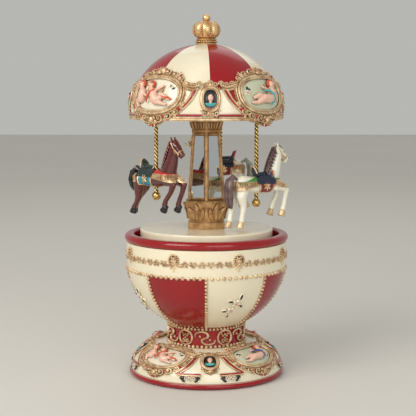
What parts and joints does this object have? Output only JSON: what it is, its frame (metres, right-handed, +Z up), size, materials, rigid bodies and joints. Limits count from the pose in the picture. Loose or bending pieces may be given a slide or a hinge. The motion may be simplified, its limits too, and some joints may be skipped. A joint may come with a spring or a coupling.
{
  "type": "wind-up carousel music box",
  "caption": "Footed bowl with a wind-up musical movement that turns a mirrored column, a domed canopy and hanging horses.",
  "frame": {"origin": "middle of the base, on the surface it stands on", "axes": "+Z up along the axis the platform turns on, -Y to the front"},
  "size_m": [0.0928, 0.092, 0.2016],
  "materials": {
    "red_lacquer": "glossy painted resin",
    "cream_paint": "glossy painted resin",
    "gilt": "antique gold paint on cast resin",
    "bronze_gilt": "bronze paint on cast resin",
    "mirror": "silvered",
    "brass": "turned or stamped",
    "steel": "ground",
    "dark_plastic": "moulded",
    "deck_red": "dark red moulding",
    "felt": "pressed felt",
    "brown_coat": "glossy painted resin",
    "white_coat": "glossy painted resin",
    "grey_coat": "glossy painted resin"
  },
  "bodies": {
    "housing": {"base_ring": "red_lacquer", "bottom_cover": "dark_plastic", "cover_screws": "steel", "felt_pad": "felt", "foot": "cream_paint", "foot_cartouches": "gilt", "foot_portraits": "gilt", "neck": "red_lacquer", "neck_scrolls": "gilt", "neck_screws": "steel", "bowl": "cream_paint", "rim_ring": "red_lacquer", "bead_band": "gilt", "bead_ribs": "gilt", "garland": "gilt", "sprigs": "gilt", "deck_plate": "deck_red", "deck_screws": "steel", "centre_post": "steel", "lift_disc": "steel", "bedplate": "brass", "bed_screws": "steel", "spring_housing": "brass", "mainspring": "steel", "comb": "steel", "comb_screws": "brass"},
    "winding": {"winding_key": "brass", "winding_arbor": "steel", "ratchet_wheel": "steel"},
    "great_wheel": {"great_wheel": "brass", "output_shaft": "steel"},
    "cylinder": {"pinned_cylinder": "brass", "cylinder_arbor": "steel", "cylinder_wheel": "brass"},
    "governor": {"governor_wheel": "brass"},
    "fan": {"governor_fan": "steel"},
    "carousel": {"turntable": "cream_paint", "turntable_gear": "brass", "column": "bronze_gilt", "mirrors": "mirror", "capital": "bronze_gilt", "canopy_floor": "cream_paint", "canopy_dome": "red_lacquer", "canopy_edge": "gilt", "canopy_cartouches": "gilt", "canopy_portraits": "gilt", "crown": "gilt", "pole_bushes": "brass"},
    "brown": {"brown_horse": "brown_coat", "brown_pole": "brass", "brown_ball": "brass", "brown_runner": "steel"},
    "white": {"white_horse": "white_coat", "white_pole": "brass", "white_ball": "brass", "white_runner": "steel"},
    "grey": {"grey_horse": "grey_coat", "grey_pole": "brass", "grey_ball": "brass", "grey_runner": "steel"}
  },
  "joints": [
    {"name": "turntable_spin", "type": "hinge", "parent": "housing", "child": "carousel", "pos_m": [0, 0, 0.0773], "axis": [0, 0, 1], "continuous": true},
    {"name": "key_wind", "type": "hinge", "parent": "housing", "child": "winding", "pos_m": [-0.012, 0, 0.007], "axis": [0, 0, 1], "range_deg": [0, 1530]},
    {"name": "great_wheel_spin", "type": "hinge", "parent": "housing", "child": "great_wheel", "pos_m": [-0.012, 0, 0.054], "axis": [0, 0, 1], "continuous": true},
    {"name": "cylinder_spin", "type": "hinge", "parent": "housing", "child": "cylinder", "pos_m": [0, 0, 0.05916], "axis": [1, 0, 0], "continuous": true},
    {"name": "governor_spin", "type": "hinge", "parent": "housing", "child": "governor", "pos_m": [0, 0.009, 0.05375], "axis": [1, 0, 0], "continuous": true},
    {"name": "fan_spin", "type": "hinge", "parent": "housing", "child": "fan", "pos_m": [0.021, 0.01335, 0.0537], "axis": [0, 0, 1], "continuous": true},
    {"name": "brown_rise", "type": "slide", "parent": "carousel", "child": "brown", "axis": [0, 0, 1], "range_m": [-0.0041, 0.0035]},
    {"name": "white_rise", "type": "slide", "parent": "carousel", "child": "white", "axis": [0, 0, 1], "range_m": [-0.00037, 0.00723]},
    {"name": "grey_rise", "type": "slide", "parent": "carousel", "child": "grey", "axis": [0, 0, 1], "range_m": [-0.00626, 0.00134]}
  ],
  "couplings": [
    {"joint": "great_wheel_spin", "follows": "turntable_spin", "ratio": -2},
    {"joint": "cylinder_spin", "follows": "turntable_spin", "ratio": -7.2},
    {"joint": "governor_spin", "follows": "turntable_spin", "ratio": 23.04},
    {"joint": "fan_spin", "follows": "turntable_spin", "ratio": -345.6}
  ]
}
